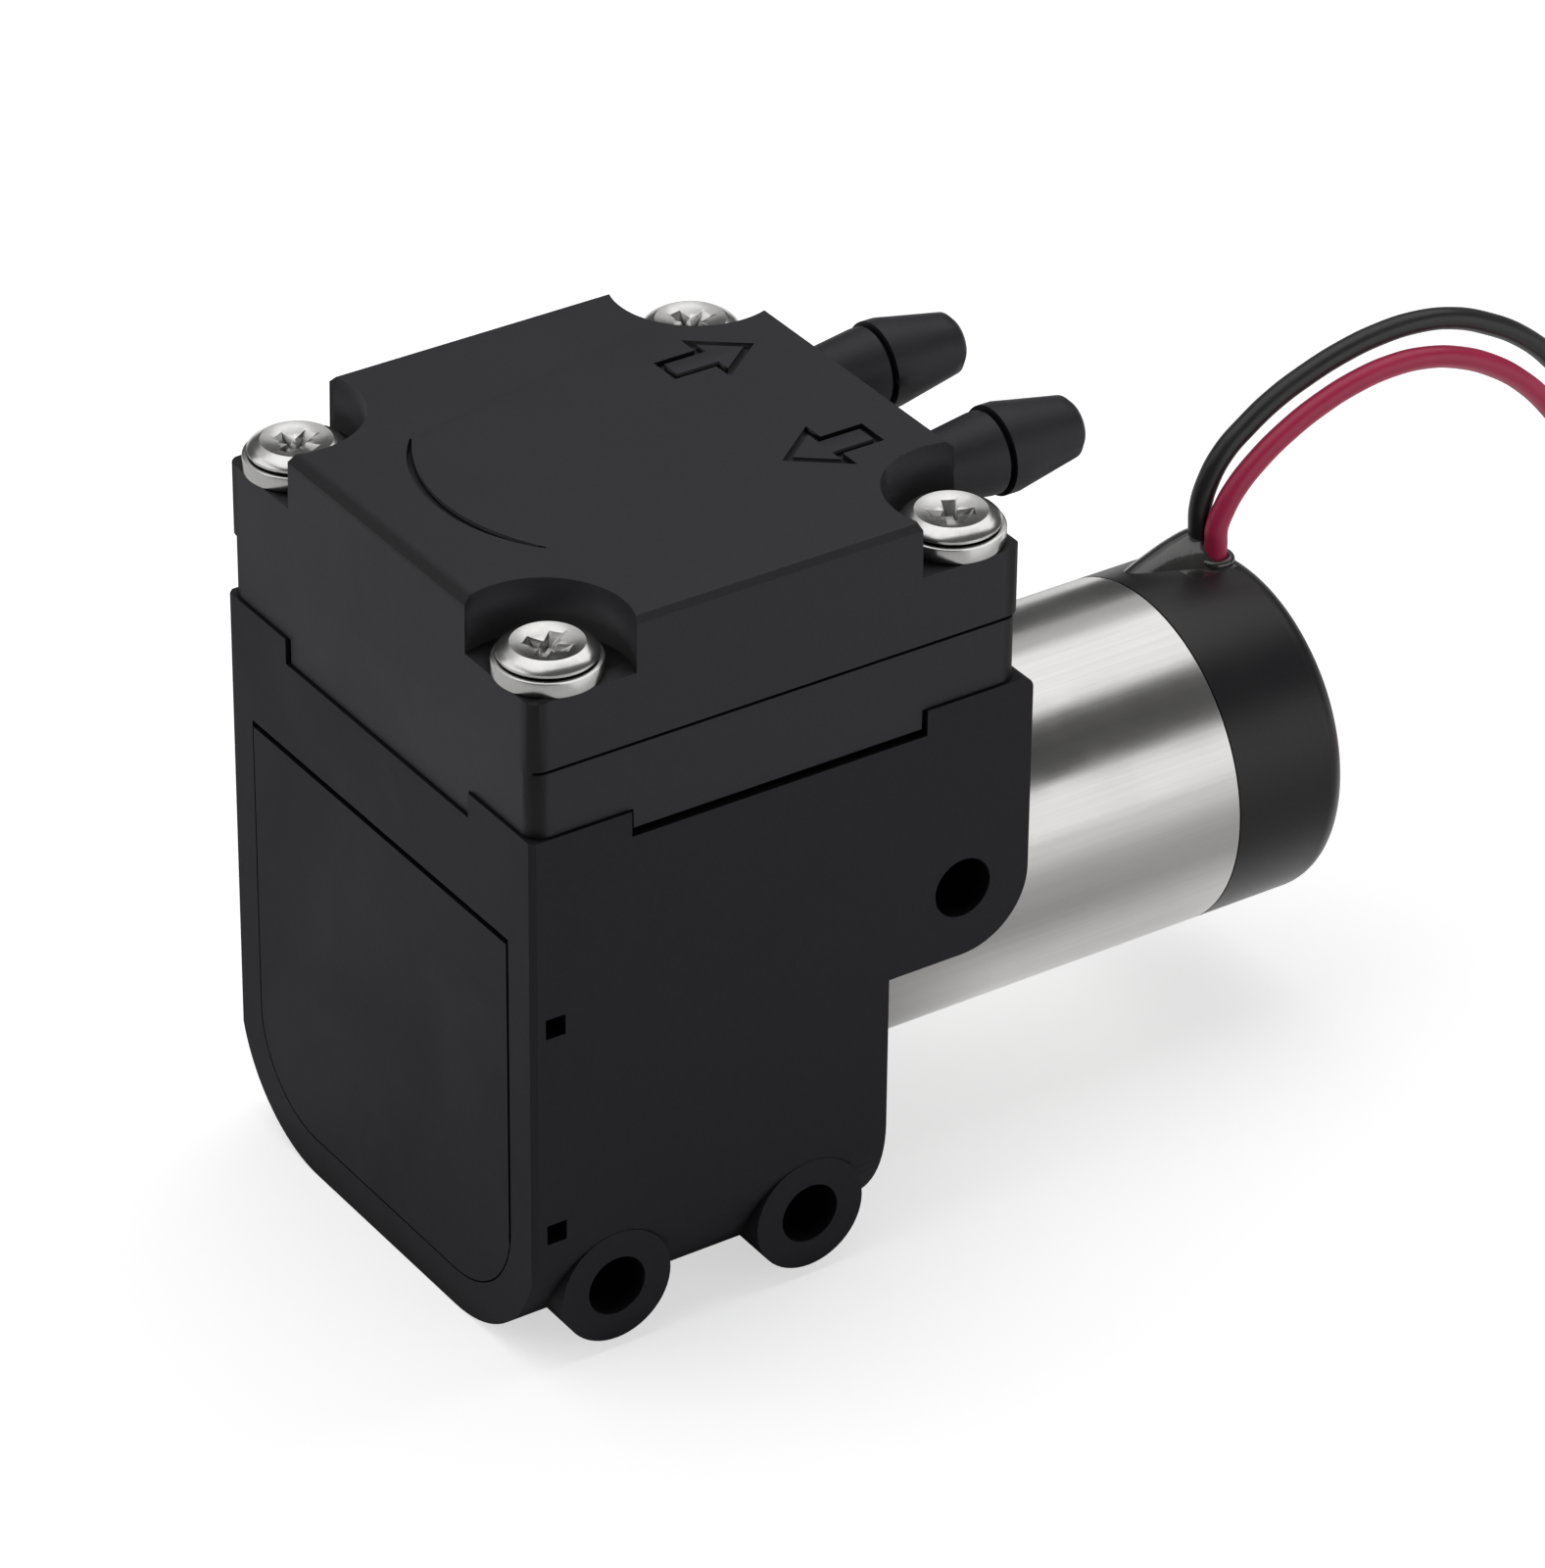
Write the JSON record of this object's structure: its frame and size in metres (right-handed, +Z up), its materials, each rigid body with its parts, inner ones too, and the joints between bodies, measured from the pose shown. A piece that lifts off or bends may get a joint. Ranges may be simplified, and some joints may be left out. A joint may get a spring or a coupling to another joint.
{
  "type": "mini air pump",
  "caption": "Miniature diaphragm air pump: a brushed motor turns an eccentric and rod under a square valve head with barbed ports; wire leads leave the motor's rear cap.",
  "frame": {"origin": "on the flat underside of the lower body, straight below the centre of the square head", "axes": "+X across the pump and out of the right-hand side bosses, +Y along the motor axis from the head to the rear cap and along the ports, +Z up through the head"},
  "size_m": [0.0324, 0.107, 0.0442],
  "materials": {
    "black_plastic": "fine spark-eroded moulding, matte",
    "cap_plastic": "smooth moulding, satin",
    "rod_plastic": "glass-filled moulding, matte",
    "rubber": "moulded elastomer, matte",
    "plated_steel": "nickel-plated, drawn along the axis",
    "nickel_screw": "nickel-plated, bright",
    "bearing_steel": "ground",
    "core_steel": "stacked laminations, varnished",
    "brass": "turned",
    "bronze": "sintered, oil-filled",
    "ferrite": "pressed ferrite, matte",
    "copper": "enamelled winding wire and turned copper",
    "carbon": "pressed carbon",
    "sealant": "cured potting resin, glossy",
    "black_insulation": "smooth wire insulation, satin",
    "red_insulation": "smooth wire insulation, satin",
    "tinned_wire": "tinned strands"
  },
  "bodies": {
    "pump": {"housing": "black_plastic", "front_cover": "black_plastic", "valve_plate": "black_plastic", "valve_sheet": "rubber", "head_cover": "black_plastic", "head_screws": "nickel_screw", "lock_washers": "nickel_screw", "diaphragm": "rubber", "motor_can": "plated_steel", "motor_screws": "nickel_screw", "front_bushing": "bronze", "rear_bushing": "bronze", "field_magnets": "ferrite", "carbon_brushes": "carbon", "brush_arms": "brass", "motor_rear_cap": "cap_plastic", "lead_seal": "sealant", "black_lead": "black_insulation", "black_lead_coil": "black_insulation", "black_lead_end": "tinned_wire", "red_lead": "red_insulation", "red_lead_coil": "red_insulation", "red_lead_end": "tinned_wire"},
    "crank": {"motor_shaft": "bearing_steel", "rotor_core": "core_steel", "rotor_windings": "copper", "commutator": "copper", "eccentric": "brass", "counterweight": "brass", "set_screw": "nickel_screw", "rod_bearing_inner": "bearing_steel", "rod_bearing_balls": "bearing_steel"},
    "rod": {"connecting_rod": "rod_plastic", "rod_bearing_outer": "bearing_steel", "diaphragm_insert": "nickel_screw"}
  },
  "joints": [
    {"name": "crank_spin", "type": "hinge", "parent": "pump", "child": "crank", "pos_m": [0, 0, 0.01465], "axis": [0, 1, 0], "continuous": true, "deforming": ["diaphragm"]},
    {"name": "rod_pivot", "type": "hinge", "parent": "crank", "child": "rod", "pos_m": [0, 0, 0.01345], "axis": [0, 1, 0], "continuous": true}
  ],
  "couplings": [
    {"joint": "rod_pivot", "follows": "crank_spin", "ratio": -1}
  ]
}
